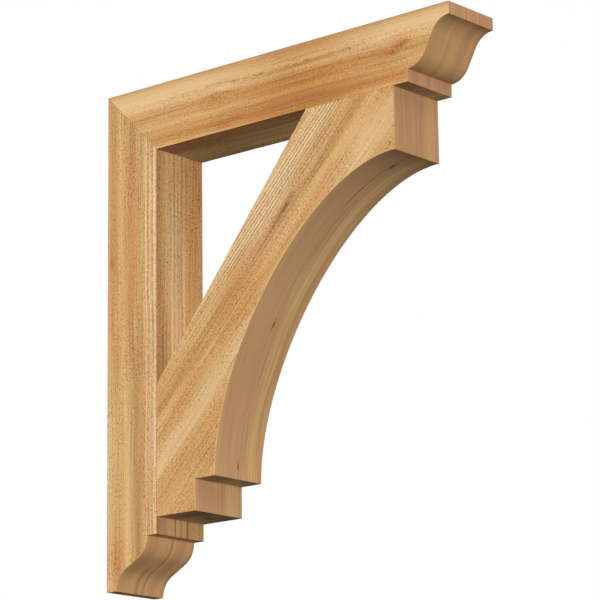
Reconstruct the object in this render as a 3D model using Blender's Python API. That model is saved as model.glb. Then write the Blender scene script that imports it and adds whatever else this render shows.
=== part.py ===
"""A wooden corbel bracket of three timbers: a wall leg, a top arm and a curved brace.

The bracket stands out from the wall towards -Y, and its width is along X. The wall face is
the plane y = 0, and the origin is in the middle of it. Every timber is a side outline,
drawn as (depth out from the wall, height above the foot), sawn through its full width.
"""

import math

import bmesh
import bpy
import numpy as np
from mathutils import Vector

INCH = 0.0254

# The bracket as a whole
WIDTH = 4.0 * INCH
DEPTH = 26.0 * INCH
HEIGHT = 30.0 * INCH

# The two square timbers and the joints' clearance
LEG_THICKNESS = 4.0 * INCH
ARM_THICKNESS = 4.0 * INCH
JOINT_GAP = 0.0003

# The moulding cut on the arm's free end and on the leg's foot
TIP_FILLET = 0.75 * INCH
NECK_FILLET = 0.75 * INCH
OGEE_RUN = 3.0 * INCH
OGEE_RADIUS = 1.375 * INCH
SHOULDER = 1.0 * INCH

# The raking board
BRACE_BOARD = 7.25 * INCH
HEEL_WIDTH = 3.0 * INCH
HEEL_STEP = 1.5 * INCH

# How far the arc's two end tangents pull, as shares of its rise and of its run
FOOT_PULL = 0.432
NOSE_PULL = 0.456

OGEE_STEPS = 14
ARC_STEPS = 56

CEDAR_TAN = (0.52, 0.33, 0.16, 1.0)
CEDAR_AMBER = (0.48, 0.28, 0.12, 1.0)
CEDAR_CREAM = (0.58, 0.38, 0.19, 1.0)
CEDAR_ROUGHNESS = 0.75


def clear_scene():
    for old in list(bpy.data.objects):
        bpy.data.objects.remove(old)


def cedar(name, colour):
    material = bpy.data.materials.new(name)
    material.use_nodes = True
    shader = material.node_tree.nodes["Principled BSDF"]
    shader.inputs["Base Color"].default_value = colour
    shader.inputs["Roughness"].default_value = CEDAR_ROUGHNESS
    shader.inputs["Metallic"].default_value = 0.0
    return material


def ogee(run, drop):
    """Points (along, down) of a cove, a short straight and a round, which start and end level.

    Both arcs have the same radius and turn through one angle. That angle is the slope of the
    line that touches both circles between their centres.
    """
    widest = (run**2 + drop**2) / (4.0 * drop)
    radius = min(OGEE_RADIUS, widest)
    centres_apart = math.hypot(run, drop - 2.0 * radius)
    straight = math.sqrt(max(centres_apart**2 - (2.0 * radius) ** 2, 0.0))
    turn = math.atan2(2.0 * radius, straight) + math.atan2(drop - 2.0 * radius, run)
    angles = np.linspace(0.0, turn, OGEE_STEPS + 1)
    cove = [(radius * math.sin(a), radius * (1.0 - math.cos(a))) for a in angles]
    rounded = [(run - along, drop - down) for along, down in reversed(cove)]
    return cove + rounded


def brace_arc(heel, nose):
    """Points of one cubic curve that leaves the heel plumb and reaches the nose level."""
    rise = nose[1] - heel[1]
    run = nose[0] - heel[0]
    pull_up = (heel[0], heel[1] + FOOT_PULL * rise)
    pull_back = (nose[0] - NOSE_PULL * run, nose[1])
    t = np.linspace(0.0, 1.0, ARC_STEPS + 1)[:, None]
    curve = (
        (1.0 - t) ** 3 * np.array(heel)
        + 3.0 * t * (1.0 - t) ** 2 * np.array(pull_up)
        + 3.0 * t**2 * (1.0 - t) * np.array(pull_back)
        + t**3 * np.array(nose)
    )
    return [tuple(point) for point in curve]


def leg_outline():
    """The upright: foot moulding, front face, mitre, and the flat that lies on the wall."""
    drop = LEG_THICKNESS - TIP_FILLET - NECK_FILLET
    foot = [(TIP_FILLET + down, along) for along, down in ogee(OGEE_RUN, drop)]
    return [
        (0.0, 0.0),
        *foot,
        (LEG_THICKNESS, OGEE_RUN),
        (LEG_THICKNESS, HEIGHT - ARM_THICKNESS),
        (0.0, HEIGHT),
    ]


def arm_outline():
    """The level timber: its mitre stands one joint gap off the leg's."""
    slip = JOINT_GAP * math.hypot(LEG_THICKNESS, ARM_THICKNESS) / ARM_THICKNESS
    underside = HEIGHT - ARM_THICKNESS
    drop = ARM_THICKNESS - TIP_FILLET - NECK_FILLET
    moulding = [(DEPTH - along, HEIGHT - TIP_FILLET - down) for along, down in ogee(OGEE_RUN, drop)]
    return [
        (slip, HEIGHT),
        (LEG_THICKNESS + slip, underside),
        (DEPTH - OGEE_RUN, underside),
        *reversed(moulding),
        (DEPTH, HEIGHT),
    ]


def brace_outline():
    """The raking board between leg and arm, with its heel, step, arc and nose."""
    back = LEG_THICKNESS
    front = DEPTH - OGEE_RUN - SHOULDER
    bottom = OGEE_RUN + SHOULDER
    top = HEIGHT - ARM_THICKNESS
    slope = (top - bottom) / (front - back)
    heel = back + HEEL_WIDTH

    def outer_edge(depth):
        return bottom + slope * (depth - heel)

    board_rise = BRACE_BOARD * math.hypot(1.0, slope)

    def inner_edge(depth):
        return outer_edge(depth) + board_rise

    leg_side = back + JOINT_GAP
    arm_side = top - JOINT_GAP
    inner_tip = heel + (arm_side - board_rise - bottom) / slope
    step = (heel + HEEL_STEP, outer_edge(heel + HEEL_STEP))
    nose = (front, outer_edge(front))
    return [
        (leg_side, bottom),
        (heel, bottom),
        (heel, step[1]),
        *brace_arc(step, nose),
        (front, arm_side),
        (inner_tip, arm_side),
        (leg_side, inner_edge(leg_side)),
    ]


def saw_timber(name, outline, material):
    """One closed solid: the outline at x = -WIDTH / 2, drawn through to x = +WIDTH / 2."""
    mesh = bmesh.new()
    ring = [mesh.verts.new((-WIDTH / 2, -depth, height - HEIGHT / 2)) for depth, height in outline]
    side = mesh.faces.new(ring)
    drawn = bmesh.ops.extrude_face_region(mesh, geom=[side])
    far_side = [item for item in drawn["geom"] if isinstance(item, bmesh.types.BMVert)]
    bmesh.ops.translate(mesh, vec=Vector((WIDTH, 0.0, 0.0)), verts=far_side)
    bmesh.ops.recalc_face_normals(mesh, faces=mesh.faces)
    data = bpy.data.meshes.new(name)
    mesh.to_mesh(data)
    mesh.free()
    data.shade_smooth()
    data.set_sharp_from_angle(angle=math.radians(30.0))
    data.materials.append(material)
    timber = bpy.data.objects.new(name, data)
    bpy.context.scene.collection.objects.link(timber)
    return timber


clear_scene()
saw_timber("wall_leg", leg_outline(), cedar("leg_cedar", CEDAR_TAN))
saw_timber("top_arm", arm_outline(), cedar("arm_cedar", CEDAR_AMBER))
saw_timber("curved_brace", brace_outline(), cedar("brace_cedar", CEDAR_CREAM))
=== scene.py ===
import math
from functools import partial

import bpy
import numpy as np
from mathutils import Matrix, Vector


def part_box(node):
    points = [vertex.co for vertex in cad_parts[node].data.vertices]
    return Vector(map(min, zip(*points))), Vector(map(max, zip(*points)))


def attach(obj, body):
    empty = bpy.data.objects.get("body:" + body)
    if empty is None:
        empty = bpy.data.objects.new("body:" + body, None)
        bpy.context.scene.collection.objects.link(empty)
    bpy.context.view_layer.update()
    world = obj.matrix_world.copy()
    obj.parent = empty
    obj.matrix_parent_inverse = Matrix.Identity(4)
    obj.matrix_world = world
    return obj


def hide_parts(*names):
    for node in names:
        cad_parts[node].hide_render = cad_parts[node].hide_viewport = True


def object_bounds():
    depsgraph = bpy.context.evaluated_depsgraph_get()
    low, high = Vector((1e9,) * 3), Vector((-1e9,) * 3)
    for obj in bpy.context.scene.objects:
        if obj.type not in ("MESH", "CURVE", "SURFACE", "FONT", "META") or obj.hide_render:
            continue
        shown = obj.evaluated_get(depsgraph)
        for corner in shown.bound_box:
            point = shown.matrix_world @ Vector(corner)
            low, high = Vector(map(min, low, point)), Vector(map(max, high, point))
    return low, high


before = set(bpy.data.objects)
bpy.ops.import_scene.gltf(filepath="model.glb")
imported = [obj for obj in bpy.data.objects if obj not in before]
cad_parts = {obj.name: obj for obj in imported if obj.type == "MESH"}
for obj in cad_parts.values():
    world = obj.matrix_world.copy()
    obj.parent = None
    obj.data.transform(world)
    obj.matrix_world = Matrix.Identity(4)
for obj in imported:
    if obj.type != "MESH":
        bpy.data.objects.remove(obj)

cad_low, cad_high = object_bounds()

# Wall leg
# The upright that lies flat on the wall: solid cedar, square, with rough-sawn sides. Its foot is
# cut to a planed ogee between two fillets, and its head is mitred to the arm.

INCH = 0.0254
WIDTH = cad_high.x - cad_low.x
HEIGHT = cad_high.z - cad_low.z
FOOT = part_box("wall_leg")[0].z
TIMBER = 4.0 * INCH

TIP_FILLET = 0.75 * INCH
NECK_FILLET = 0.75 * INCH
OGEE_RUN = 3.0 * INCH
OGEE_RADIUS = 1.375 * INCH
OGEE_STEPS = 40

# How each face is cut: the share of saw tooth on it, the half width over which its corners are
# eased, and the radius of the arris along its two sides
SAWN = (1.0, 0.0008, 0.0005)
PLANED = (0.0, 0.0008, 0.0005)
JOINT = (1.0, 0.00015, 0.0001)

# The mesh: its finest step, by an edge, and how fast the steps grow from there up to the coarse
# steps along the moulding, along the timber, over its width and over its sides
FINE_STEP = 0.0004
STEP_GROWTH = 0.4
MOULDING_STEP = 0.002
RAIL_STEP = 0.003
WIDTH_STEP = 0.0026
SIDE_STEP = 0.0013
LENGTH_SAMPLES = 4001
EASE_SAMPLES = 9
ARRIS_TURNS = np.radians([0.0, 30.0, 60.0])

# Cedar tones as they look in even light: sapwood, heartwood, shade and knots
CEDAR_TONES = {
    "ivory": (234, 199, 147),
    "ash": (213, 188, 148),
    "cream": (224, 186, 135),
    "willow": (228, 185, 128),
    "pale reed": (220, 178, 123),
    "straw": (214, 177, 126),
    "buff": (218, 173, 117),
    "blush": (217, 167, 114),
    "reed": (209, 163, 111),
    "tan": (206, 161, 104),
    "dun": (198, 159, 105),
    "honey": (202, 152, 94),
    "rose": (200, 150, 108),
    "petal": (215, 167, 120),
    "fawn": (192, 147, 94),
    "russet": (191, 142, 87),
    "amber": (195, 139, 78),
    "ginger": (193, 134, 70),
    "toffee": (184, 125, 63),
    "copper": (179, 119, 57),
    "chestnut": (169, 106, 49),
    "bark": (183, 136, 84),
    "rust": (186, 106, 58),
    # Darker, greener tones for the undersides: partly the wood's own tone and partly painted shade
    "shaded sage": (186, 166, 126),
    "shaded olive": (169, 146, 108),
    "shaded brown": (160, 124, 84),
    "bronze": (166, 122, 74),
    "burnt": (148, 98, 56),
    "umber": (100, 66, 38),
}


def linear_tone(name):
    """A named tone as linear light: the usual screen curve is undone."""
    screen = np.array(CEDAR_TONES[name]) / 255.0
    return np.where(screen < 0.04045, screen / 12.92, ((screen + 0.055) / 1.055) ** 2.4)


def ogee(run, drop):
    """Points (along, down): a cove, a short straight and a round of one radius, level at both ends.

    Both arcs turn through the slope of the line that touches the two circles between their
    centres.
    """
    radius = min(OGEE_RADIUS, (run**2 + drop**2) / (4.0 * drop))
    centres_apart = math.hypot(run, drop - 2.0 * radius)
    straight = math.sqrt(max(centres_apart**2 - (2.0 * radius) ** 2, 0.0))
    turn = math.atan2(2.0 * radius, straight) + math.atan2(drop - 2.0 * radius, run)
    angles = np.linspace(0.0, turn, OGEE_STEPS + 1)
    cove = np.stack([radius * np.sin(angles), radius * (1.0 - np.cos(angles))], axis=1)
    return np.concatenate([cove, np.array([run, drop]) - cove[::-1]])


def shares(length, coarse):
    """Places along a length, as shares of it: the step grows from each end up to a coarse step."""
    place = np.linspace(0.0, length, LENGTH_SAMPLES)
    step = np.minimum(coarse, FINE_STEP + STEP_GROWTH * np.minimum(place, length - place))
    count = np.concatenate([[0.0], np.cumsum(np.diff(place) / step[1:])])
    steps = math.ceil(count[-1])
    return np.interp(np.linspace(0.0, count[-1], steps + 1), count, place) / length


def reach_along(path):
    """How far each point of a path is from its start, measured along the path."""
    return np.concatenate([[0.0], np.cumsum(np.hypot(*np.diff(path, axis=0).T))])


def points_at(path, reach, places):
    """The points of a path at given distances along it, straight between its own points."""
    return np.stack([np.interp(places, reach, path[:, axis]) for axis in (0, 1)], axis=-1)


def rail_points(path, at):
    """Points at shares of a path's whole length."""
    path = np.array(path, float)
    reach = reach_along(path)
    return points_at(path, reach, at * reach[-1])


def climb(value, start, length):
    """0 up to start, and straight up to 1 over a length; a negative length climbs downwards."""
    return np.clip((value - start) / length, 0.0, 1.0)


def eased(share):
    """A share from 0 to 1 that leaves both ends level: three squares less two cubes."""
    return share * share * (3.0 - 2.0 * share)


NOISE_SIDE = 256


def value_noise(u, v, seed):
    """Smooth random values from -1 to 1: random numbers at whole places, eased in between."""
    table = np.random.default_rng(seed).uniform(-1.0, 1.0, (NOISE_SIDE, NOISE_SIDE))
    column, row = np.floor(u).astype(int), np.floor(v).astype(int)
    fu, fv = eased(u - column), eased(v - row)

    def at(right, down):
        return table[(column + right) % NOISE_SIDE, (row + down) % NOISE_SIDE]

    near = at(0, 0) * (1.0 - fu) + at(1, 0) * fu
    far = at(0, 1) * (1.0 - fu) + at(1, 1) * fu
    return near * (1.0 - fv) + far * fv


def swell(u, v, centre, half_u, half_v):
    """A soft round hill: 1 at its centre and a bell over its two half sizes, all in inches."""
    u = (u - centre[0] * INCH) / (half_u * INCH)
    v = (v - centre[1] * INCH) / (half_v * INCH)
    return np.exp(-(u**2) - v**2)


def ridge(across, line, half_width):
    """A soft line along the grain: 1 on the line, falling off as a bell to both sides of it."""
    return np.exp(-(((across - line) / half_width) ** 2))


def banded(across, share, bands):
    """Linear colour across the grain: a straight blend from each band to the next.

    A band is (place at the start, place at the end, tone at the start, tone at the end), with
    places in inches, and share says how far along the timber a point is from start to end.
    """
    across, share = across[..., None], share[..., None]
    places = [INCH * (start + (end - start) * share) for start, end, _, _ in bands]
    tones = [
        linear_tone(start) * (1.0 - share) + linear_tone(end) * share for _, _, start, end in bands
    ]
    colour = tones[0] + 0.0 * across
    for before, place, tone in zip(places, places[1:], tones[1:]):
        blend = climb(across, before, place - before)
        colour = colour * (1.0 - blend) + tone * blend
    return colour


def level_bands(*rows):
    """Bands that keep their place all along: each row is a place and one tone, or one per end."""
    return [(place, place, tones[0], tones[-1]) for place, *tones in rows]


def stained(colour, tone, strength):
    """A colour blended towards a named tone by a mask."""
    strength = np.clip(strength, 0.0, 1.0)[..., None]
    return colour * (1.0 - strength) + linear_tone(tone) * strength


def all_stained(colour, u, v, stains):
    """A colour under stains: each is (tone, strength, centre, half size, half size)."""
    for tone, strength, centre, half_u, half_v in stains:
        colour = stained(colour, tone, strength * swell(u, v, centre, half_u, half_v))
    return colour


# The sawn tooth: the width and length of its fine ridges and of its slow waves, the pitch and
# first groove of the hard ribs, how deep each goes, the share that a plane leaves of it, and the
# strip by an edge over which it fades in
RIDGE_SIZE = (0.0027, 0.05)
WAVE_SIZE = (0.013, 0.12)
RIB_PITCH = 0.0089
RIB_GROOVE = 0.0037
RIDGE_RELIEF = 0.00014
WAVE_RELIEF = 0.00012
RIB_RELIEF = 0.0004
PLANED_RELIEF = 0.1
EDGE_FADE = 0.002


def tooth_depth(across, along, ribs, seed, pitch=RIB_PITCH):
    """How deep the sawn face lies under its flat: ridges, slow waves, and ribs of hard grain."""
    ridges = 0.5 + 0.5 * value_noise(across / RIDGE_SIZE[0], along / RIDGE_SIZE[1], seed)
    waves = 0.5 + 0.5 * value_noise(across / WAVE_SIZE[0], along / WAVE_SIZE[1], seed + 1)
    grooves = 0.5 + 0.5 * np.cos(2.0 * np.pi * (across - RIB_GROOVE) / pitch)
    return RIDGE_RELIEF * ridges + WAVE_RELIEF * waves + RIB_RELIEF * ribs * grooves


def cell_corners(grid):
    """Each cell's four corner values, in the order that turns a cell of the near side outwards."""
    return np.stack([grid[:-1, :-1], grid[:-1, 1:], grid[1:, 1:], grid[1:, :-1]], axis=2).reshape(
        (-1, 4) + grid.shape[2:]
    )


def scene_object(name, data):
    """An object in the scene, at the origin, that holds a mesh, a lamp or a camera."""
    holder = bpy.data.objects.new(name, data)
    bpy.context.scene.collection.objects.link(holder)
    return holder


def timber_object(name, vertices, faces, layers):
    """An object of smooth-shaded quads, which carry tone, grain place, cut and ribs by corner."""
    mesh = bpy.data.meshes.new(name)
    mesh.vertices.add(len(vertices))
    mesh.vertices.foreach_set("co", vertices.ravel())
    mesh.loops.add(faces.size)
    mesh.loops.foreach_set("vertex_index", faces.ravel())
    mesh.polygons.add(len(faces))
    mesh.polygons.foreach_set("loop_start", np.arange(0, faces.size, 4))
    mesh.update(calc_edges=True)
    mesh.shade_smooth()
    tint = np.concatenate([layer["tint"] for layer in layers])
    tint = np.concatenate([tint, np.ones(tint.shape[:-1] + (1,))], axis=-1)
    mesh.attributes.new("tint", "FLOAT_COLOR", "CORNER").data.foreach_set("color", tint.ravel())
    for key, kind, slot in (
        ("grain", "FLOAT_VECTOR", "vector"),
        ("sawn", "FLOAT", "value"),
        ("ribs", "FLOAT", "value"),
    ):
        values = np.concatenate([layer[key] for layer in layers]).ravel()
        mesh.attributes.new(key, kind, "CORNER").data.foreach_set(slot, values)
    return scene_object(name, mesh)


# By a drying check, plain lines of the mesh stop at this share of half the width, and fine lines
# run at these distances from it
CHECK_CLEAR = 0.06
CHECK_LINES = np.array([-0.0022, -0.0012, -0.0006, 0.0, 0.0006, 0.0012, 0.0022])


def saw_timber(name, stretches, caps, side_size, paint_side, paint_band, check=None):
    """One closed timber mesh. Its outline is two rails of matched points and the caps between them.

    The outline goes up the front rail, over the head, down the back rail and under the foot. It
    is eased by averaging it over a short window, then carried across the width, where both ends
    of each line turn over an arris of quarter-circle section. Each side is the straight blend of
    the two rails. Paint functions give the grain place, tone and ribs of every point.
    """
    back_rail, front_rail, back_cut, front_cut = [], [], [], []
    for back_path, front_path, back_kind, front_kind, step in stretches:
        length = max(reach_along(np.array(back_path))[-1], reach_along(np.array(front_path))[-1])
        at = shares(length, step)
        skip = 1 if back_rail else 0
        back_rail.append(rail_points(back_path, at)[skip:])
        front_rail.append(rail_points(front_path, at)[skip:])
        back_cut += [back_kind] * (len(at) - 1)
        front_cut += [front_kind] * (len(at) - 1)
    back_rail, front_rail = np.concatenate(back_rail), np.concatenate(front_rail)
    rows = len(back_rail) - 1

    widths = shares(*side_size)[:, None]
    lines = len(widths) - 1
    head = back_rail[-1] + (front_rail[-1] - back_rail[-1]) * widths
    foot = back_rail[0] + (front_rail[0] - back_rail[0]) * widths
    outline = np.concatenate([front_rail, head[-2:0:-1], back_rail[::-1], foot[1:]])
    cut = np.array(front_cut + [caps[1]] * lines + back_cut[::-1] + [caps[0]] * lines)
    count = len(outline) - 1

    reach = reach_along(outline)
    whole = reach[-1]
    ease = np.minimum(cut[:, 1], np.roll(cut[:, 1], 1))
    arris = np.minimum(cut[:, 2], np.roll(cut[:, 2], 1))
    laps = np.concatenate([reach[:-1] - whole, reach[:-1], reach + whole])
    looped = np.concatenate([outline[:-1], outline[:-1], outline])
    window = np.linspace(-1.0, 1.0, EASE_SAMPLES)
    shifted = [points_at(looped, laps, reach[:-1] + shift * ease) for shift in window]
    softened = np.mean(shifted, axis=0)
    ahead = points_at(looped, laps, reach[:-1] + ease) - points_at(looped, laps, reach[:-1] - ease)
    ahead /= np.hypot(*ahead.T)[:, None]
    inward = np.stack([-ahead[:, 1], ahead[:, 0]], axis=1)

    inner = shares(WIDTH, WIDTH_STEP) * 2.0 - 1.0
    if check is not None:
        plain = inner[abs(inner - check) > CHECK_CLEAR]
        inner = np.sort(np.concatenate([plain, check + CHECK_LINES / (WIDTH / 2)]))
    leans, sinks = np.cos(ARRIS_TURNS), 1.0 - np.sin(ARRIS_TURNS)
    ends, between = np.ones(len(ARRIS_TURNS)), np.zeros(len(inner))
    base = np.concatenate([-ends, inner, ends])
    lean = np.concatenate([-leans, between, leans[::-1]])
    sink = np.concatenate([sinks, between, sinks[::-1]])
    x = base * (WIDTH / 2 - arris[:, None]) + lean * arris[:, None]

    across = np.concatenate([x, x[:1]]) + WIDTH / 2
    along = np.broadcast_to(reach[:, None], across.shape)
    place = np.concatenate([softened, softened[:1]])[:, None, :] + 0.0 * across[..., None]
    band = paint_band(across, along, place)
    depth = band["depth"] * np.clip(np.minimum(across, WIDTH - across) / EDGE_FADE, 0.0, 1.0)
    sunk = sink * arris[:, None] + depth[:-1]
    band_points = softened[:, None, :] + inward[:, None, :] * sunk[..., None]
    band_vertices = np.concatenate([x[..., None], band_points], axis=2).reshape(-1, 3)

    width = len(base)
    ring = np.full((rows + 1, lines + 1), -1)
    ring[:, lines] = np.arange(rows + 1)
    ring[rows, :] = rows + lines - np.arange(lines + 1)
    ring[:, 0] = rows + lines + rows - np.arange(rows + 1)
    ring[0, :] = (2 * rows + lines + np.arange(lines + 1)) % count
    rim = softened + inward * arris[:, None]
    flat = rim[ring[:, 0]][:, None] * (1.0 - widths) + rim[ring[:, lines]][:, None] * widths
    flat[0], flat[-1] = rim[ring[0]], rim[ring[-1]]
    edge = np.minimum(widths[:, 0], 1.0 - widths[:, 0]) * side_size[0]
    fade = np.clip(edge / EDGE_FADE, 0.0, 1.0) * np.ones((rows + 1, 1))
    fade[0], fade[-1] = 0.0, 0.0

    vertices, faces, layers = [band_vertices], [], []
    band_ids = (np.arange(count + 1)[:, None] % count) * width + np.arange(width)
    faces.append(cell_corners(band_ids))
    layers.append({key: cell_corners(value) for key, value in band.items()})
    layers[0]["sawn"] = layers[0]["sawn"] * np.repeat(cut[:, 0], width - 1)[:, None]
    filled = len(band_vertices)
    for side, column in ((-1, 0), (1, width - 1)):
        painted = paint_side(flat[..., 0], flat[..., 1], side)
        ids = np.where(ring >= 0, ring * width + column, -1)
        free = ids < 0
        ids[free] = filled + np.arange(free.sum())
        filled += free.sum()
        face_x = side * (WIDTH / 2 - painted["depth"] * fade)
        spots = np.concatenate([face_x[..., None], flat], axis=2)
        vertices.append(spots[free])
        corners = cell_corners(ids)
        layer = {key: cell_corners(value) for key, value in painted.items()}
        if side > 0:
            corners = corners[:, ::-1]
            layer = {key: value[:, ::-1] for key, value in layer.items()}
        faces.append(corners)
        layers.append(layer)

    vertices = np.concatenate(vertices)
    vertices = np.stack([vertices[:, 0], -vertices[:, 1], vertices[:, 2] + FOOT], axis=1)
    return timber_object(name, vertices, np.concatenate(faces), layers)


def new_node(tree, kind, sockets=(), **settings):
    """A node: settings are its properties, and sockets gives values or links by name."""
    node = tree.nodes.new("ShaderNode" + kind)
    for setting, value in settings.items():
        setattr(node, setting, value)
    for socket, value in dict(sockets).items():
        if isinstance(value, bpy.types.NodeSocket):
            tree.links.new(value, node.inputs[socket])
        else:
            node.inputs[socket].default_value = value
    return node


def reckon(tree, operation, *values):
    """The result of a Math node on one, two or three values or links."""
    node = new_node(tree, "Math", enumerate(values), operation=operation)
    return node.outputs[0]


def times(tree, first, second):
    """The product of two values or links."""
    return reckon(tree, "MULTIPLY", first, second)


def times_plus(tree, first, second, third):
    """The product of two values or links, plus a third one."""
    return reckon(tree, "MULTIPLY_ADD", first, second, third)


def ramped(tree, value, low, high):
    """0 below low, 1 above high, and eased in between."""
    sockets = {"Value": value, "From Min": low, "From Max": high}
    return new_node(tree, "MapRange", sockets, interpolation_type="SMOOTHSTEP").outputs[0]


def grain_noise(tree, grain, spots, detail):
    """Noise from 0 to 1, drawn out along the grain: spots per metre across it and along it."""
    sockets = {0: grain, 1: (*spots, 1.0)}
    stretched = new_node(tree, "VectorMath", sockets, operation="MULTIPLY").outputs[0]
    sockets = {"Vector": stretched, "Scale": 1.0, "Detail": detail}
    return new_node(tree, "TexNoise", sockets).outputs[0]


def bound_to(tree):
    """The node helpers with their tree filled in."""
    return [partial(helper, tree) for helper in (reckon, times, times_plus, ramped, grain_noise)]


def blended(tree, factor, first, second, blend="MIX"):
    """Two colours blended by a factor."""
    sockets = {0: factor, 6: first, 7: second}
    node = new_node(tree, "Mix", sockets, data_type="RGBA", blend_type=blend)
    return node.outputs[2]


def new_group(name, inputs, outputs):
    """An empty node group with its named sockets, and its two end nodes."""
    tree = bpy.data.node_groups.new(name, "ShaderNodeTree")
    for socket, kind in inputs.items():
        tree.interface.new_socket(socket, in_out="INPUT", socket_type=kind)
    for socket, kind in outputs.items():
        tree.interface.new_socket(socket, in_out="OUTPUT", socket_type=kind)
    return tree, tree.nodes.new("NodeGroupInput").outputs, tree.nodes.new("NodeGroupOutput").inputs


FLOAT, VECTOR = "NodeSocketFloat", "NodeSocketVector"
SAW_SLANT = 0.15
CUT_OUTPUTS = {"Dark": FLOAT, "Light": FLOAT, "Height": FLOAT}

# Saw tooth: long streaks, a fuzz of torn fibres, short dark tears that gather in clumps, and
# ribs of hard grain: pale crests, with rows of tears in the grooves between them
tooth_inputs = {"Grain": VECTOR, "Ribs": FLOAT, "Pitch": FLOAT, "Bite": FLOAT}
saw_tooth, taken, given = new_group("Saw tooth", tooth_inputs, CUT_OUTPUTS)
worked, product, product_plus, ramp, noise = bound_to(saw_tooth)
parts = new_node(saw_tooth, "SeparateXYZ", {0: taken["Grain"]}).outputs
leant = product_plus(parts["Y"], -SAW_SLANT, parts["X"])
slant = {"X": leant, "Y": parts["Y"], "Z": parts["Z"]}
slanted = new_node(saw_tooth, "CombineXYZ", slant).outputs[0]
streaks = noise(taken["Grain"], (520.0, 6.5), 3.0)
fuzz = noise(slanted, (640.0, 280.0), 2.0)
tears = ramp(noise(slanted, (500.0, 130.0), 1.0), 0.54, 0.66)
clumps = ramp(noise(taken["Grain"], (110.0, 14.0), 1.0), 0.40, 0.60)
tear = product(tears, clumps)
pitches = worked("DIVIDE", worked("SUBTRACT", parts["X"], RIB_GROOVE), taken["Pitch"])
rise = worked("COSINE", product(pitches, 2.0 * math.pi))
groove = ramp(rise, 0.25, 0.97)
crest = product(ramp(rise, -0.30, -0.97), taken["Ribs"])
chips = ramp(noise(taken["Grain"], (90.0, 150.0), 1.0), 0.38, 0.58)
broken = product_plus(chips, 0.6, 0.4)
groove_dark = product(product(product(groove, broken), taken["Ribs"]), 0.80)
streak_dark = product(ramp(streaks, 0.50, 0.68), 0.36)
# The fuzz's darks and lights and the dark tears, also those in the grooves, are partly the torn
# wood's own colour and partly painted shade and highlight of its fine bumps and pits
fuzz_dark = product(ramp(fuzz, 0.54, 0.66), 0.66)
tear_dark = product_plus(tear, 0.34, worked("ADD", streak_dark, fuzz_dark))
light_fuzz = product(ramp(fuzz, 0.50, 0.30), 0.55)
light_both = product_plus(ramp(streaks, 0.50, 0.30), 0.8, light_fuzz)
light_bite = product(light_both, taken["Bite"])
relief = product_plus(fuzz, -0.5, product(streaks, -0.4))
saw_tooth.links.new(product_plus(tear_dark, taken["Bite"], groove_dark), given["Dark"])
saw_tooth.links.new(product_plus(crest, 1.9, light_bite), given["Light"])
saw_tooth.links.new(product_plus(tear, -0.5, relief), given["Height"])

# Planed grain: fine streaks along the timber, faint or bold as its ribs of hard grain are, and
# hardly any relief
planed_inputs = {"Grain": VECTOR, "Ribs": FLOAT}
planed_grain, taken, given = new_group("Planed grain", planed_inputs, CUT_OUTPUTS)
worked, product, product_plus, ramp, noise = bound_to(planed_grain)
boldness = product_plus(taken["Ribs"], 1.5, 0.5)
threads = noise(taken["Grain"], (520.0, 9.0), 3.0)
drifts = noise(taken["Grain"], (150.0, 5.0), 2.0)
drift_dark = product(ramp(drifts, 0.50, 0.70), 0.18)
thread_dark = product(ramp(threads, 0.50, 0.72), 0.20)
both_dark = worked("ADD", drift_dark, thread_dark)
thread_light = ramp(threads, 0.50, 0.28)
planed_grain.links.new(product(both_dark, boldness), given["Dark"])
planed_grain.links.new(product(thread_light, boldness), given["Light"])
planed_grain.links.new(product(threads, -0.08), given["Height"])

# Hue drift: slow patches that lean towards pink on one hand and towards green on the other
hue_drift, taken, given = new_group("Hue drift", {"Grain": VECTOR}, {"Pink": FLOAT})
worked, product, product_plus, ramp, noise = bound_to(hue_drift)
patches = noise(taken["Grain"], (70.0, 9.0), 2.0)
specks = noise(taken["Grain"], (210.0, 60.0), 1.0)
mixed = product_plus(specks, 0.45, product(patches, 0.55))
hue_drift.links.new(ramp(mixed, 0.36, 0.64), given["Pink"])

# Knot: an ellipse round a place on the grain, with a ragged edge
knot_places = ("Across", "Along", "Half width", "Half length")
knot_inputs = {"Grain": VECTOR, **dict.fromkeys(knot_places, FLOAT)}
knot_group, taken, given = new_group("Knot", knot_inputs, {"Heart": FLOAT, "Halo": FLOAT})
worked, product, product_plus, ramp, noise = bound_to(knot_group)
parts = new_node(knot_group, "SeparateXYZ", {0: taken["Grain"]}).outputs
u = worked("DIVIDE", worked("SUBTRACT", parts["X"], taken["Across"]), taken["Half width"])
v = worked("DIVIDE", worked("SUBTRACT", parts["Y"], taken["Along"]), taken["Half length"])
span = worked("SQRT", product_plus(u, u, product(v, v)))
ragged = noise(taken["Grain"], (500.0, 250.0), 2.0)
span = worked("ADD", span, product_plus(ragged, 0.7, -0.35))
knot_group.links.new(ramp(span, 1.0, 0.35), given["Heart"])
knot_group.links.new(ramp(span, 2.6, 0.6), given["Halo"])

# The two casts of the hue drift, where grain and knots shade to, and how rough each cut is
PINK_CAST = (1.03, 0.965, 1.01, 1.0)
GREEN_CAST = (0.97, 1.03, 0.96, 1.0)
GRAIN_SHADE = (0.56, 0.43, 0.30, 1.0)
GRAIN_LIGHT = (1.0, 0.86, 0.60, 1.0)
LIGHT_SHARE = 0.14
KNOT_HALO = (0.42, 0.19, 0.065, 1.0)
KNOT_HEART = (0.17, 0.07, 0.028, 1.0)
PLANED_ROUGHNESS = 0.55
SAWN_ROUGHNESS = 0.85


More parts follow.
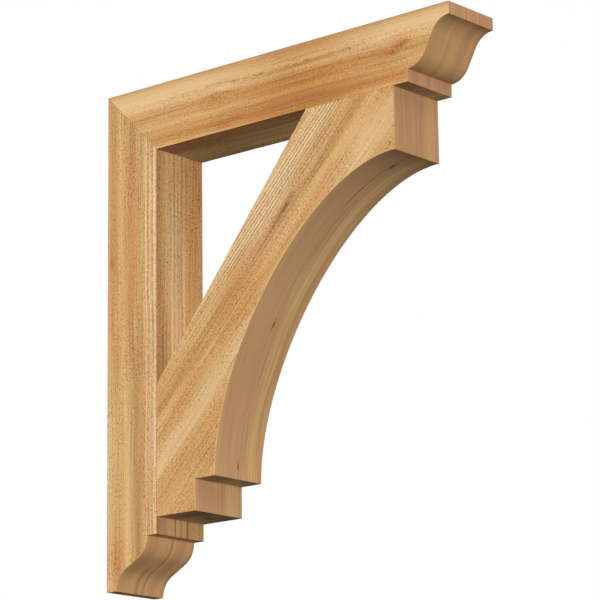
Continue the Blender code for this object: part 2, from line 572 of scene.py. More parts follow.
def cedar_finish(name, knots, bite, heart=0.75, halo=0.35, pitch=RIB_PITCH):
    """Cedar that reads its tone from the mesh, with saw tooth or planed grain, and its knots.

    A knot is (place across, place along, half width, half length, seed), in inches but for the
    seed, which says which face the knot is on.
    """
    material = bpy.data.materials.new(name)
    material.use_nodes = True
    tree = material.node_tree
    shader = tree.nodes["Principled BSDF"]
    outputs = {"grain": "Vector", "tint": "Color", "sawn": "Fac", "ribs": "Fac"}
    grain, tint, sawn, ribs = (
        new_node(tree, "Attribute", attribute_name=key).outputs[output]
        for key, output in outputs.items()
    )

    def placed(group, sockets):
        return new_node(tree, "Group", sockets, node_tree=group).outputs

    rough = placed(saw_tooth, {"Grain": grain, "Ribs": ribs, "Pitch": pitch, "Bite": bite})
    smooth = placed(planed_grain, {"Grain": grain, "Ribs": ribs})

    def by_cut(output):
        sockets = {0: sawn, 2: smooth[output], 3: rough[output]}
        return new_node(tree, "Mix", sockets, data_type="FLOAT").outputs[0]

    drift = reckon(tree, "SUBTRACT", placed(hue_drift, {"Grain": grain})["Pink"], 0.5)
    pink = times_plus(tree, drift, times_plus(tree, sawn, 0.5, 0.5), 0.5)
    hue = blended(tree, pink, GREEN_CAST, PINK_CAST)
    tint = blended(tree, 1.0, tint, hue, "MULTIPLY")
    shade = blended(tree, 1.0, tint, GRAIN_SHADE, "MULTIPLY")
    shaded = blended(tree, by_cut("Dark"), tint, shade)
    lit = blended(tree, times(tree, by_cut("Light"), LIGHT_SHARE), shaded, GRAIN_LIGHT)
    face = new_node(tree, "SeparateXYZ", {0: grain}).outputs["Z"]
    for knot in knots:
        sockets = {place: size * INCH for place, size in zip(knot_places, knot)}
        round_knot = placed(knot_group, {"Grain": grain, **sockets})
        here = reckon(tree, "COMPARE", face, knot[-1], 0.5)
        ring = times(tree, times(tree, round_knot["Halo"], here), halo)
        core = times(tree, times(tree, round_knot["Heart"], here), heart)
        lit = blended(tree, core, blended(tree, ring, lit, KNOT_HALO), KNOT_HEART)
    tree.links.new(lit, shader.inputs["Base Color"])
    shader.inputs["Specular IOR Level"].default_value = 0.2
    sockets = {"Value": sawn, "To Min": PLANED_ROUGHNESS, "To Max": SAWN_ROUGHNESS}
    tree.links.new(new_node(tree, "MapRange", sockets).outputs[0], shader.inputs["Roughness"])
    sockets = {"Strength": 0.8, "Distance": 0.0008, "Height": by_cut("Height")}
    tree.links.new(new_node(tree, "Bump", sockets).outputs[0], shader.inputs["Normal"])
    return material


LEG_SIDE_BANDS = [
    (0.00, 0.00, "straw", "reed"), (0.33, 0.20, "straw", "honey"), (0.83, 0.35, "tan", "fawn"),
    (1.17, 0.70, "tan", "honey"), (1.67, 1.00, "pale reed", "buff"), (2.00, 1.38, "dun", "tan"),
    (2.50, 1.83, "bark", "russet"), (2.90, 2.35, "fawn", "honey"), (3.00, 2.83, "dun", "dun"),
    (3.14, 3.14, "reed", "buff"), (3.31, 3.31, "buff", "cream"), (3.48, 3.48, "fawn", "dun"),
    (3.67, 3.65, "cream", "willow"), (3.95, 3.90, "straw", "cream"),
]
LEG_FACE_BANDS = level_bands(
    (0.00, "bark"), (0.55, "bark", "dun"), (0.85, "dun", "willow"), (1.10, "dun", "buff"),
    (1.40, "ivory", "buff"), (1.65, "cream", "honey"), (1.90, "ash", "pale reed"),
    (2.12, "reed", "honey"), (2.38, "ivory", "tan"), (2.62, "tan"), (3.20, "reed", "russet"),
    (3.45, "buff", "amber"), (3.75, "dun", "fawn"), (4.00, "honey", "fawn"),
)
FOOT_BANDS = level_bands(
    (0.00, "bark"), (0.25, "bark"), (0.35, "rose"), (0.75, "rose"), (0.95, "blush"),
    (1.46, "blush"), (1.58, "bronze"), (1.70, "buff"), (1.92, "buff"), (2.07, "bronze"),
    (2.20, "straw"), (2.44, "buff"), (2.54, "copper"), (2.66, "copper"), (2.76, "tan"),
    (3.50, "tan"), (3.60, "russet"), (4.00, "tan"),
)
PLANED_BANDS = [
    (0.00, 0.00, "reed", "blush"), (0.40, 0.30, "rose", "tan"), (0.90, 0.90, "rose", "reed"),
    (1.50, 1.55, "reed", "blush"), (1.62, 1.80, "reed", "reed"), (1.80, 2.05, "rose", "blush"),
    (2.40, 2.40, "rose", "blush"), (3.10, 3.10, "rose", "rose"), (3.60, 3.50, "rose", "blush"),
    (4.00, 4.00, "rose", "rose"),
]

# Stains on the near side and on the front: tone, strength, centre, and the two half sizes
LEG_SIDE_STAINS = [
    ("bark", 0.55, (1.95, 26.4), 0.25, 1.8),
    ("toffee", 0.75, (0.42, 19.7), 0.22, 0.45),
    ("chestnut", 0.35, (0.36, 19.6), 0.10, 0.20),
    ("toffee", 0.65, (0.92, 1.8), 0.22, 0.6),
    ("amber", 0.75, (0.90, 1.7), 0.55, 1.9),
]
LEG_FRONT_STAINS = [
    ("toffee", 0.6, (3.5, 24.3), 0.5, 1.0),
    ("rust", 0.5, (3.45, 25.3), 0.13, 0.6),
    ("ash", 0.5, (1.35, 19.5), 0.38, 3.8),
]
FOOT_STAINS = [
    ("straw", 0.55, (1.20, 0.9), 0.24, 1.2),
    ("straw", 0.45, (1.93, 0.9), 0.13, 1.0),
]
FOOT_BLOCK = 4.1 * INCH
FOOT_PATH = 6.0 * INCH

# How near a plane a point counts as on it, and the ribs that show faintly on a planed moulding
SLACK = 0.0002
MOULDING_RIBS = 0.3

# How far the grain's lines wander, slowly and quickly, and the width and length of such a wave
# and of a patch that the saw has left smooth
SLOW_DRIFT, SLOW_WAVE = 0.0014, (0.06, 0.16)
QUICK_DRIFT, QUICK_WAVE = 0.0005, (0.03, 0.05)
PATCH_WIDTH, PATCH_LENGTH = 0.02, 0.09


def drifted(across, along, seed):
    """Grain lines that wander by a millimetre or two as they run along the timber."""
    slow = value_noise(across / SLOW_WAVE[0], along / SLOW_WAVE[1], seed)
    quick = value_noise(across / QUICK_WAVE[0], along / QUICK_WAVE[1], seed + 1)
    return across + SLOW_DRIFT * slow + QUICK_DRIFT * quick


def smooth_patches(across, along, seed, lift, width=PATCH_WIDTH):
    """How smooth the saw has left the wood, in patches drawn out along the grain: 0 to 1."""
    return np.clip(value_noise(across / width, along / PATCH_LENGTH, seed) + lift, 0.0, 1.0)


def packed_paint(across, along, seed, tint, ribs, depth, smooth=0.0):
    """The grids that a paint function hands back; grain is the place and the face's seed."""
    grain = np.stack([across, along, seed + 0.0 * across], axis=-1)
    sawn = 1.0 - smooth + 0.0 * across
    return {"grain": grain, "tint": tint, "ribs": ribs, "depth": depth, "sawn": sawn}


def streaked(tint, across, along, line, start, end, half_width, strength, tone):
    """A thin streak on a line along the grain, from a start to an end in inches."""
    here = ridge(across, line, half_width)
    here = here * climb(along / INCH, start, 0.5) * climb(along / INCH, end, -0.5)
    return stained(tint, tone, strength * here)


def paint_leg_side(depth, height, side):
    """Bands that spread towards the head, and ribs of hard grain beside the front edge."""
    seed = 11 if side < 0 else 21
    across = drifted(depth, height, seed)
    share = eased(climb(height / INCH, 6.0, 14.0))
    tint = banded(across, share, LEG_SIDE_BANDS)
    if side < 0:
        tint = all_stained(tint, depth, height, LEG_SIDE_STAINS)
    ribs = climb(across / INCH, 3.05, 0.15) * (0.45 + 0.55 * share)
    smooth = 0.60 * smooth_patches(across, height, seed + 7, 0.5) * climb(across / INCH, 3.0, -0.3)
    tooth = tooth_depth(across, height, ribs, seed)
    return packed_paint(across, height, seed, tint, ribs, tooth, smooth)


def paint_leg_band(across, along, place):
    """Sawn back, head and front, a smoother foot block, and a planed moulding with dark curls."""
    seed = 31
    height = place[..., 1]
    front = place[..., 0] > 0.5 * TIMBER
    share = climb(height / INCH, 14.0, 10.0)
    wandered = drifted(across, along, seed)
    sawn_tint = banded(wandered, share, LEG_FACE_BANDS)
    front_tint = all_stained(sawn_tint, across, height, LEG_FRONT_STAINS)
    sawn_tint = np.where(front[..., None], front_tint, sawn_tint)
    block = front & (height < FOOT_BLOCK)
    sawn_tint = np.where(block[..., None], banded(across, share, FOOT_BANDS), sawn_tint)
    planed_tint = banded(wandered, 1.0 + 0.0 * share, PLANED_BANDS)
    planed_tint = all_stained(planed_tint, across, along, FOOT_STAINS)
    curl = 2.2 * INCH + 0.0010 * np.sin(along / OGEE_RUN * 4.0)
    side_curl = 1.67 * INCH - 0.0020 * along / OGEE_RUN
    for streak in (
        (curl, -0.5, 9.0, 0.0021, 0.62, "burnt"),
        (curl + 0.0036, -0.5, 9.0, 0.0012, 0.30, "cream"),
        (side_curl, -0.5, 2.3, 0.0028, 0.60, "burnt"),
    ):
        planed_tint = streaked(planed_tint, across, along, *streak)
    planed_tint = stained(planed_tint, "bark", 0.40 * swell(across, along, (1.0, 2.0), 0.8, 0.7))
    moulded = (height < OGEE_RUN - SLACK) & (along < FOOT_PATH)
    tint = np.where(moulded[..., None], planed_tint, sawn_tint)
    ribs = np.where(moulded, MOULDING_RIBS, 0.8 * ridge(across / INCH, 1.75, 0.70))
    tooth = tooth_depth(across, along, 0.0, seed) * np.where(moulded, PLANED_RELIEF, 1.0)
    smooth = np.where(block, 0.6, 0.45 * smooth_patches(across, along, seed + 7, 0.3))
    return packed_paint(wandered, along, seed, tint, ribs, tooth, smooth)


toe = np.array([TIP_FILLET, 0.0])
ogee_drop = TIMBER - TIP_FILLET - NECK_FILLET
leg_ogee = toe + ogee(OGEE_RUN, ogee_drop)[:, ::-1]
back_neck = (0.0, 3.25 * INCH)
front_neck = (TIMBER, OGEE_RUN)
leg_stretches = [
    ([(0.0, 0.0), (0.0, OGEE_RUN)], leg_ogee, SAWN, PLANED, MOULDING_STEP),
    ([(0.0, OGEE_RUN), back_neck], [leg_ogee[-1], front_neck], SAWN, PLANED, RAIL_STEP),
    ([back_neck, (0.0, HEIGHT)], [front_neck, (TIMBER, HEIGHT - TIMBER)], SAWN, SAWN, RAIL_STEP),
]
leg_caps = (PLANED, JOINT)
leg_size = (TIMBER, SIDE_STEP)
leg = saw_timber("leg_timber", leg_stretches, leg_caps, leg_size, paint_leg_side, paint_leg_band)
leg.data.materials.append(cedar_finish("leg_cedar", [], 1.55))
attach(leg, "root")
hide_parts("wall_leg")

# Top arm
# The level timber that carries the load, of the same stock as the leg and mitred to it at the
# wall. Its sides are rough sawn, and its free end is planed to the same moulding as the foot.

REACH = cad_high.y - cad_low.y
JOINT_GAP = 0.00005
ARM_SLIP = JOINT_GAP * math.sqrt(2.0)
ARM_MIDDLE = 15.2 * INCH
ARM_MIDDLE_HALF = 4.6 * INCH

ARM_SIDE_BANDS = level_bands(
    (0.00, "copper", "chestnut"), (0.07, "fawn", "bark"), (0.38, "straw", "russet"),
    (0.65, "cream", "honey"), (0.90, "cream", "tan"), (1.10, "cream", "honey"),
    (1.25, "pale reed", "bark"), (1.42, "pale reed", "tan"), (1.58, "reed", "honey"),
    (1.80, "honey", "copper"), (1.95, "amber", "toffee"), (2.10, "tan", "toffee"),
    (2.28, "honey", "copper"), (2.45, "tan", "toffee"), (2.62, "buff", "ginger"),
    (2.78, "tan", "amber"), (2.92, "honey", "chestnut"), (3.12, "honey", "copper"),
    (3.40, "ginger", "chestnut"), (3.60, "amber", "chestnut"), (3.75, "honey", "copper"),
    (3.95, "buff", "toffee"),
)
# Underside tones, darker and greener than the sides: partly the wood's own tone and partly painted
# shade under the arm and the brace's heel
UNDER_BANDS = level_bands(
    (0.00, "bark"), (0.55, "shaded olive"), (0.85, "shaded brown", "shaded olive"), (1.25, "shaded brown", "shaded olive"),
    (1.55, "shaded olive", "shaded sage"), (1.70, "shaded sage"), (1.90, "shaded olive"), (2.10, "shaded sage"), (2.45, "shaded sage"),
    (2.75, "shaded olive", "shaded sage"), (3.10, "shaded sage", "ash"), (3.55, "shaded olive", "shaded sage"),
    (4.00, "shaded olive", "shaded sage"),
)

# The near side's two knots, which its grain parts round, and the stains there
ARM_KNOT = (22.5, 1.75)
ARM_WHORL = (8.8, 1.8)
ARM_SIDE_STAINS = [
    ("amber", 0.75, (9.0, 1.95), 1.2, 0.28),
    ("rust", 0.45, (8.4, 1.75), 0.50, 0.10),
    ("burnt", 0.35, (8.7, 1.90), 0.22, 0.10),
    ("ivory", 0.45, (9.3, 1.35), 0.60, 0.14),
    ("toffee", 0.65, (21.4, 1.95), 1.2, 0.28),
    ("toffee", 0.75, (9.4, 3.55), 0.8, 0.25),
    ("rust", 0.80, (10.3, 3.33), 0.42, 0.14),
    ("rust", 0.65, (9.35, 3.60), 0.50, 0.16),
    ("rust", 0.55, (22.05, 1.98), 0.80, 0.30),
    ("rust", 0.90, (22.65, 1.72), 0.60, 0.24),
    ("ivory", 0.35, (22.9, 2.25), 0.55, 0.12),
    ("burnt", 0.90, (22.36, 1.80), 0.27, 0.11),
    ("burnt", 0.85, (22.86, 1.68), 0.30, 0.08),
    ("burnt", 0.65, (21.98, 2.08), 0.22, 0.10),
    ("blush", 0.55, (11.5, 0.12), 1.2, 0.10),
    ("toffee", 0.50, (21.2, 2.45), 1.7, 0.50),
]

# Curls of grain on the end moulding (place across, start, end), and the torn row on the sides
ARM_CURLS = [(1.30, 24.2, 26.8), (1.52, 23.6, 26.0), (1.10, 24.9, 27.0)]
TORN_ROW = 1.13 * INCH
TORN_ROW_HALF = 0.0017


def paint_arm_side(depth, height, side):
    """Bands that turn amber in the middle, grain that parts round the knots, and a torn row."""
    seed = 41 if side < 0 else 51
    from_top = HEIGHT - height
    across = drifted(from_top, depth, seed)
    if side < 0:
        for centre in (ARM_KNOT, ARM_WHORL):
            parted = swell(depth, from_top, centre, 1.0, 0.55)
            across = across - 0.75 * (from_top - centre[1] * INCH) * parted
    share = ridge(depth, ARM_MIDDLE, ARM_MIDDLE_HALF)
    tint = banded(across, share, ARM_SIDE_BANDS)
    inches = depth / INCH
    torn = np.clip(1.7 * value_noise(across / 0.002, depth / 0.0045, seed + 5) - 0.1, 0.0, 1.0)
    row = ridge(across, TORN_ROW, TORN_ROW_HALF) * (inches < 20.0) * climb(inches, 5.0, 1.0)
    tint = stained(tint, "umber", 0.60 * row * torn)
    if side < 0:
        tint = all_stained(tint, depth, from_top, ARM_SIDE_STAINS)
    planed_edge = 0.75 * (1.0 - share) * climb(across / INCH, 1.05, -0.2)
    smooth = np.maximum(planed_edge, 0.45 * smooth_patches(across, depth, seed + 7, 0.0))
    ribs = 0.0 * depth
    tooth = tooth_depth(across, depth, ribs, seed)
    return packed_paint(across, depth, seed, tint, ribs, tooth, smooth)


def paint_arm_band(across, along, place):
    """Sawn underside, whose darker tones are partly painted shade and which carries a patch of
    painted light by the leg, sawn top, and a planed end moulding with dark curls of grain.
    """
    seed = 61
    out, height = place[..., 0], place[..., 1]
    wandered = drifted(across, along, seed)
    in_cove = climb(out, REACH - SLACK, -RAIL_STEP)
    in_cove = in_cove * climb(height, HEIGHT - TIMBER + NECK_FILLET + SLACK, RAIL_STEP)
    planed_tint = banded(wandered, in_cove, PLANED_BANDS)
    for line, start, end in ARM_CURLS:
        curl = line * INCH - 0.0012 * (along / INCH - 25.0)
        streak = (curl, start, end, 0.0009, 0.45, "burnt")
        planed_tint = streaked(planed_tint, across, along, *streak)
    under_tint = banded(wandered, climb(out / INCH, 7.0, 3.0), UNDER_BANDS)
    under_tint = stained(under_tint, "toffee", 0.50 * ridge(across, 0.0, 0.8 * INCH))
    # Painted light: a pale ash patch on the underside by the leg, standing in for light thrown back
    # from the leg's face
    under_tint = stained(under_tint, "ash", 0.35 * swell(across, out, (3.0, 4.5), 1.5, 2.5))
    on_top = (height > HEIGHT - 0.5 * TIP_FILLET)[..., None]
    sawn_tint = np.where(on_top, banded(wandered, 0.0 * across, LEG_FACE_BANDS), under_tint)
    moulded = (out > REACH - OGEE_RUN - SLACK) & (height < HEIGHT - SLACK)
    tint = np.where(moulded[..., None], planed_tint, sawn_tint)
    ribs = MOULDING_RIBS * moulded
    tooth = tooth_depth(across, along, 0.0, seed) * np.where(moulded, PLANED_RELIEF, 1.0)
    return packed_paint(wandered, along, seed, tint, ribs, tooth)


underside = HEIGHT - TIMBER
arm_neck = REACH - OGEE_RUN
arm_tip = np.array([REACH, HEIGHT - TIP_FILLET])
arm_ogee = (arm_tip - ogee(OGEE_RUN, ogee_drop))[::-1]
top_neck = (arm_neck - 0.3 * INCH, HEIGHT)
top_ogee = (arm_neck - 0.05 * INCH, HEIGHT)
under_neck = (arm_neck, underside)
under_joint = (TIMBER + ARM_SLIP, underside)
arm_stretches = [
    ([(ARM_SLIP, HEIGHT), top_neck], [under_joint, under_neck], SAWN, SAWN, RAIL_STEP),
    ([top_neck, top_ogee], [under_neck, arm_ogee[0]], SAWN, PLANED, RAIL_STEP),
    ([top_ogee, (REACH, HEIGHT)], arm_ogee, SAWN, PLANED, MOULDING_STEP),
]
arm_caps = (JOINT, PLANED)
arm = saw_timber("arm_timber", arm_stretches, arm_caps, leg_size, paint_arm_side, paint_arm_band)
arm_knots = [(1.74, 22.62, 0.06, 0.12, 41), (3.46, 10.5, 0.05, 0.35, 41)]
arm.data.materials.append(cedar_finish("arm_cedar", arm_knots, 1.0, 0.30, 0.45))
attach(arm, "root")
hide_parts("top_arm")

# Curved brace
# The raking board between the leg and the arm, sawn from one wide plank and butted to both. Its
# heel has a square step, and a long planed arc runs from there up to a plumb nose.

SHOULDER = 1.0 * INCH
BRACE_BOARD = 7.25 * INCH
HEEL_WIDTH = 3.0 * INCH
HEEL_STEP = 1.5 * INCH
FOOT_PULL = 0.432
NOSE_PULL = 0.456
ARC_STEPS = 240
GRAIN_LEAN = 0.095
BRACE_RIBS = 0.0053
BRACE_SIDE_STEP = 0.00165

# The drying check along the arc, in inches round the outline, and the small knots it runs through
CHECK_ACROSS = 1.97 * INCH
CHECK_HALF = 0.0008
CHECK_DEPTH = 0.0005
CHECK_START, CHECK_END = 20.0, 27.6
ARC_KNOTS = (0.034, 0.388, 0.906)
KNOT_GLINTS = [(ARC_KNOTS[0], -0.30), (ARC_KNOTS[1], 0.48)]

brace_front = REACH - OGEE_RUN - SHOULDER
brace_foot = OGEE_RUN + SHOULDER
brace_heel = TIMBER + HEEL_WIDTH
brace_slope = (underside - brace_foot) / (brace_front - TIMBER)
brace_angle = math.atan(brace_slope)

BRACE_SIDE_BANDS = level_bands(
    (-2.2, "reed"), (-1.6, "straw"), (-1.2, "cream"), (-0.5, "straw"), (-0.1, "tan"),
    (0.30, "tan"), (0.85, "russet"), (1.05, "russet"), (1.40, "tan"), (1.70, "buff"),
    (2.20, "honey"), (2.70, "tan"), (3.05, "straw"), (3.60, "cream", "straw"), (3.95, "tan"),
    (4.60, "honey"), (5.60, "tan"), (7.00, "honey"),
)
PLAIN_BANDS = [
    (0.00, 0.00, "reed", "pale reed"), (0.40, 0.45, "rose", "petal"),
    (1.95, 1.95, "rose", "petal"), (2.55, 2.50, "rose", "blush"), (2.85, 2.80, "reed", "willow"),
    (3.15, 3.20, "reed", "willow"), (3.45, 3.45, "blush", "tan"), (3.75, 3.75, "rose", "blush"),
    (4.00, 4.00, "reed", "reed"),
]

# Stains on the near side, under and over a pale streak that leans a little across the grain
BRACE_LOW_STAINS = [
    ("amber", 0.65, (12.0, 4.9), 3.4, 1.3),
    ("amber", 0.50, (5.2, 5.3), 2.2, 0.8),
    ("straw", 0.60, (6.8, 3.6), 1.9, 0.65),
]
BRACE_HIGH_STAINS = [
    ("amber", 0.60, (3.2, 1.45), 1.3, 0.50),
    ("copper", 0.45, (4.0, 5.05), 1.7, 0.17),
    ("toffee", 0.45, (11.2, 5.50), 1.3, 0.55),
    ("bark", 0.60, (7.7, 5.65), 1.6, 0.22),
    ("cream", 0.70, (23.0, 2.3), 1.7, 0.9),
    ("straw", 0.80, (24.7, 1.75), 1.3, 0.9),
    ("ash", 0.45, (17.0, 5.9), 3.2, 0.9),
    ("russet", 0.65, (17.0, 5.02), 1.8, 0.45),
]


def brace_arc(heel, nose):
    """Points of one cubic curve that leaves the heel plumb and reaches the nose level."""
    rise, run = nose[1] - heel[1], nose[0] - heel[0]
    pull_up = np.array([heel[0], heel[1] + FOOT_PULL * rise])
    pull_back = np.array([nose[0] - NOSE_PULL * run, nose[1]])
    t = np.linspace(0.0, 1.0, ARC_STEPS + 1)[:, None]
    curve = (1.0 - t) ** 3 * np.array(heel) + 3.0 * t * (1.0 - t) ** 2 * pull_up
    return curve + 3.0 * t**2 * (1.0 - t) * pull_back + t**3 * np.array(nose)


def round_outline(turn):
    """How far round the outline a share of the arc's steps lies, in inches."""
    reach = np.interp(turn * ARC_STEPS, np.arange(ARC_STEPS + 1), arc_reach)
    return (arc_start + reach) / INCH


def outer_edge(depth):
    """Height of the uncut board's outer edge, a straight line up from the heel's corner."""
    return brace_foot + brace_slope * (depth - brace_heel)


def paint_brace_side(depth, height, side):
    """Bands that lean across the board, ribs by its inner edge, a pale streak, a smudge, and a
    painted highlight along the arc's arris.
    """
    seed = 71 if side < 0 else 81
    out, up = depth - brace_heel, height - brace_foot
    run = out * math.cos(brace_angle) + up * math.sin(brace_angle)
    from_outer = up * math.cos(brace_angle) - out * math.sin(brace_angle)
    leaning = BRACE_BOARD - from_outer - GRAIN_LEAN * (run - 1.4 * INCH)
    across = drifted(leaning, run, seed)
    tint = banded(across, climb(run, 0.0, 20.0 * INCH), BRACE_SIDE_BANDS)
    smooth = 0.5 * smooth_patches(across, run, seed + 7, 0.1, 0.022)
    if side < 0:
        pale_line = from_outer + 0.165 * (run - 5.0 * INCH)
        pale = swell(run, pale_line, (4.6, 3.35), 4.0, 0.42)
        torn = np.clip(1.3 * value_noise(across / 0.0018, run / 0.004, seed + 5) + 0.60, 0.0, 1.0)
        smudge = swell(run, from_outer, (17.1, 5.07), 1.05, 0.22) * torn
        # Distance to the arc, for the painted highlight along its arris
        edge = np.hypot(depth[..., None] - arc[:, 0], height[..., None] - arc[:, 1]).min(axis=-1)
        tint = all_stained(tint, run, from_outer, BRACE_LOW_STAINS)
        tint = stained(tint, "straw", 0.90 * pale)
        tint = all_stained(tint, run, from_outer, BRACE_HIGH_STAINS)
        tint = stained(tint, "umber", 0.80 * smudge)
        # Painted highlight: a thin ivory line beside the arc, where its arris catches the light
        tint = stained(tint, "ivory", 0.5 * ridge(edge, 0.0, 0.0016))
        smooth = smooth + 0.8 * pale + 0.7 * swell(run, from_outer, (23.9, 2.1), 2.4, 1.3)
    ribs = climb(across / INCH, 0.15, -0.25) * climb(across / INCH, -1.40, 0.25)
    ribs = ribs * climb(run / INCH, 9.0, 4.0)
    smooth = np.minimum(smooth, 0.8) * (1.0 - ribs)
    tooth = tooth_depth(across, run, ribs, seed, BRACE_RIBS)
    return packed_paint(across, run, seed, tint, ribs, tooth, smooth)


def paint_brace_band(across, along, place):
    """Planed heel, arc and nose, the check along the arc with painted shade in its crack, its
    knots, and a sawn inner edge.
    """
    seed = 91
    out, height = place[..., 0], place[..., 1]
    inches = along / INCH
    wandered = drifted(across, along, seed)
    on_nose = out > brace_front - SLACK
    up_arc = 0.5 + 0.5 * climb(inches, 9.0, 5.0)
    share = np.where(on_nose, 0.0, np.where(along < arc_start, 0.5, up_arc))
    under_tint = banded(wandered, 0.0 * share, UNDER_BANDS)
    under_tint = stained(under_tint, "umber", 0.75 * swell(across, out, (2.38, 5.63), 0.32, 0.26))
    # The level faces under the brace's heel and its step take the underside tones, which are partly
    # painted shade
    off_level = np.minimum(abs(height - brace_foot), abs(height - heel_corner[1]))
    level = (off_level < 2.5 * SLACK)[..., None]
    planed_tint = np.where(level, under_tint, banded(wandered, share, PLAIN_BANDS))
    inner = height > outer_edge(out) + 0.97 * BRACE_BOARD / math.cos(brace_angle)
    tint = np.where(inner[..., None], banded(wandered, share, LEG_FACE_BANDS), planed_tint)
    arc_ribs = 0.10 + 0.75 * climb(across / INCH, 1.95, 0.15)
    ribs = np.where(on_nose, 0.35, arc_ribs) * ~inner
    # The check: a shallow groove in the mesh, with an umber line that is painted shade in the crack
    # where it opens, and fainter along the rest of the arc
    check = ridge(across, CHECK_ACROSS, CHECK_HALF) * ~inner
    opened = climb(inches, CHECK_START, 1.5) * climb(inches, CHECK_END, -1.5)
    faint = climb(inches, 6.0, 2.0) * climb(inches, 29.0, -1.0)
    tint = stained(tint, "umber", np.maximum(0.85 * opened, 0.30 * faint) * check)
    for turn, shift in KNOT_GLINTS:
        glint = swell(across, along, (1.87, round_outline(turn) + shift), 0.07, 0.22)
        tint = stained(tint, "straw", 0.75 * glint)
    tooth = tooth_depth(across, along, 0.0, seed) * np.where(inner, 1.0, PLANED_RELIEF)
    return packed_paint(wandered, along, seed, tint, ribs, tooth + CHECK_DEPTH * check * opened)


heel_corner = (brace_heel, outer_edge(brace_heel + HEEL_STEP))
step_corner = (brace_heel + HEEL_STEP, heel_corner[1])
arc = brace_arc(step_corner, (brace_front, outer_edge(brace_front)))
arc_reach = reach_along(arc)
arc_start = heel_corner[1] - brace_foot + HEEL_STEP
board_rise = BRACE_BOARD * math.hypot(1.0, brace_slope)
leg_side = TIMBER + JOINT_GAP
arm_side = underside - JOINT_GAP
low_turn, high_turn = ARC_STEPS * 12 // 100, ARC_STEPS * 80 // 100

# Points up the joint with the leg and along the joint with the arm, each matched to one in front
joint_heel = (leg_side, brace_foot + 1.9 * INCH)
joint_step = (leg_side, brace_foot + 3.6 * INCH)
joint_head = (leg_side, outer_edge(leg_side) + board_rise)
joint_tip = (brace_heel + (arm_side - board_rise - brace_foot) / brace_slope, arm_side)
joint_nose = (brace_front, arm_side)
heel_front = [(brace_heel, brace_foot), heel_corner]
brace_stretches = [
    ([(leg_side, brace_foot), joint_heel], heel_front, JOINT, PLANED, RAIL_STEP),
    ([joint_heel, joint_step], [heel_corner, step_corner], JOINT, PLANED, RAIL_STEP),
    ([joint_step, joint_head], arc[: low_turn + 1], JOINT, PLANED, RAIL_STEP),
    ([joint_head, joint_tip], arc[low_turn : high_turn + 1], SAWN, PLANED, RAIL_STEP),
    ([joint_tip, joint_nose], arc[high_turn:], JOINT, PLANED, RAIL_STEP),
]
brace = saw_timber(
    "brace_timber",
    brace_stretches,
    (PLANED, PLANED),
    (5.5 * INCH, BRACE_SIDE_STEP),
    paint_brace_side,
    paint_brace_band,
    check=CHECK_ACROSS / (WIDTH / 2) - 1.0,
)
brace_knots = [(0.70, 17.2, 0.10, 0.45, 71)]
for turn in ARC_KNOTS:
    brace_knots.append((CHECK_ACROSS / INCH, round_outline(turn), 0.085, 0.28, 91))
brace.data.materials.append(cedar_finish("brace_cedar", brace_knots, 1.45, pitch=BRACE_RIBS))
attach(brace, "root")
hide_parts("curved_brace")

# Floor and light
# A wide pale floor far below the bracket, a soft-edged sun from the left and the front, a square
# lamp for the sides that the camera doesn't see, and a white surround that is darker below.

FLOOR_DROP = 2.1
FLOOR_RADIUS = 9.0
FLOOR_SIDES = 96
FLOOR_COLOUR = (0.86, 0.86, 0.85, 1.0)
FLOOR_ROUGHNESS = 0.9
KEY_DIRECTION = (-0.82, -0.535, -0.11)
KEY_SPREAD = 24.0
KEY_STRENGTH = 3.25
BACK_DIRECTION = (0.70, 0.55, 0.45)
BACK_SIZE = 3.0
BACK_POWER = 200.0
LAMP_DISTANCE = 5.0

turns = np.linspace(0.0, 2.0 * math.pi, FLOOR_SIDES + 1)[:-1]
rim = FLOOR_RADIUS * np.stack([np.cos(turns), np.sin(turns), 0.0 * turns], axis=1)
rim[:, 2] = -FLOOR_DROP
floor_mesh = bpy.data.meshes.new("floor")
floor_mesh.from_pydata(rim.tolist(), [], [list(range(len(rim)))])
floor = scene_object("floor", floor_mesh)
floor_paint = bpy.data.materials.new("pale_floor")
floor_paint.use_nodes = True
floor_shader = floor_paint.node_tree.nodes["Principled BSDF"]
floor_shader.inputs["Base Color"].default_value = FLOOR_COLOUR
floor_shader.inputs["Roughness"].default_value = FLOOR_ROUGHNESS
floor_mesh.materials.append(floor_paint)
floor.visible_diffuse = False
floor.visible_glossy = False
floor.visible_shadow = False


def hang_lamp(lamp, direction):
    """A lamp's object, some way off from the bracket's middle and facing it."""
    holder = scene_object(lamp.name, lamp)
    toward = Vector(direction).normalized()
    holder.location = (cad_low + cad_high) / 2.0 + toward * LAMP_DISTANCE
    holder.rotation_euler = toward.to_track_quat("Z", "Y").to_euler()


key_lamp = bpy.data.lights.new("key_lamp", "SUN")
key_lamp.angle = math.radians(KEY_SPREAD)
key_lamp.energy = KEY_STRENGTH
hang_lamp(key_lamp, KEY_DIRECTION)
back_lamp = bpy.data.lights.new("back_lamp", "AREA")
back_lamp.size = BACK_SIZE
back_lamp.energy = BACK_POWER
hang_lamp(back_lamp, BACK_DIRECTION)

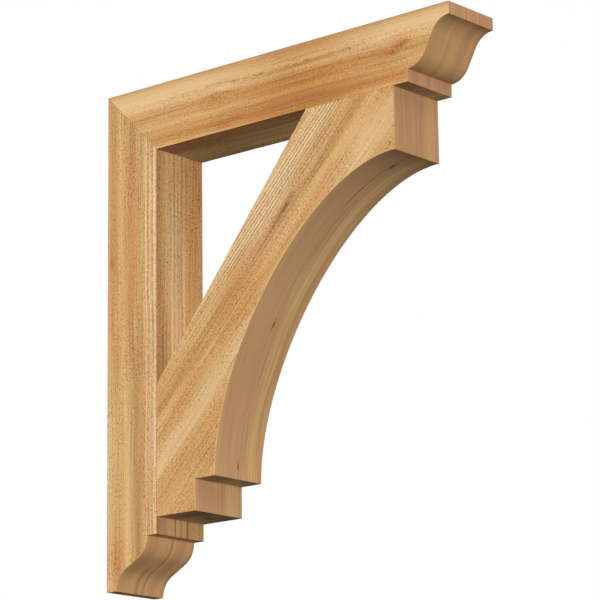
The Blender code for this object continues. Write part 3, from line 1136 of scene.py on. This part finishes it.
world = bpy.data.worlds.new("surround")
world.use_nodes = True
bpy.context.scene.world = world
sky = world.node_tree
background = sky.nodes["Background"]
direction = new_node(sky, "TexCoord").outputs["Generated"]
upward = new_node(sky, "SeparateXYZ", {0: direction}).outputs["Z"]
below = ramped(sky, upward, -0.30, 0.15)
above = ramped(sky, upward, 0.15, 0.95)
glow = times_plus(sky, above, 0.9, times_plus(sky, below, 0.10, 0.02))
seen = new_node(sky, "LightPath").outputs["Is Camera Ray"]
strength = new_node(sky, "Mix", {0: seen, 2: glow, 3: 1.0}, data_type="FLOAT").outputs[0]
sky.links.new(strength, background.inputs["Strength"])
background.inputs["Color"].default_value = (1.0, 1.0, 1.0, 1.0)

# Camera
# It looks up from the left through a long lens, about four metres off. In widths of the timber,
# its place is a distance from a point near the bracket's middle, moved aside and raised.

AZIMUTH, ELEVATION, ROLL = -0.863490, -0.239720, -0.012369
ASIDE, RAISED, DISTANCE = 0.249288, 0.630087, 41.9696
AIM = (0.0, -3.0, 3.3)
FOCAL_PIXELS = 2948.79
PICTURE_PIXELS = 600.0
SENSOR = 36.0

back = Vector((
    math.sin(AZIMUTH) * math.cos(ELEVATION),
    -math.cos(AZIMUTH) * math.cos(ELEVATION),
    math.sin(ELEVATION),
))
right = (-back).cross(Vector((0.0, 0.0, 1.0))).normalized()
up = right.cross(-back)
tilted_right = right * math.cos(ROLL) + up * math.sin(ROLL)
tilted_up = up * math.cos(ROLL) - right * math.sin(ROLL)
eye = Vector(AIM) + back * DISTANCE + right * ASIDE + up * RAISED
eye = eye * WIDTH - Vector((0.0, 0.0, HEIGHT / 2.0))
lens = bpy.data.cameras.new("camera")
lens.sensor_width = SENSOR
lens.lens = FOCAL_PIXELS / PICTURE_PIXELS * SENSOR
camera = scene_object("camera", lens)
camera.matrix_world = Matrix((
    (tilted_right.x, tilted_up.x, back.x, eye.x),
    (tilted_right.y, tilted_up.y, back.y, eye.y),
    (tilted_right.z, tilted_up.z, back.z, eye.z),
    (0.0, 0.0, 0.0, 1.0),
))
bpy.context.scene.camera = camera
bpy.context.scene.view_settings.view_transform = "Standard"
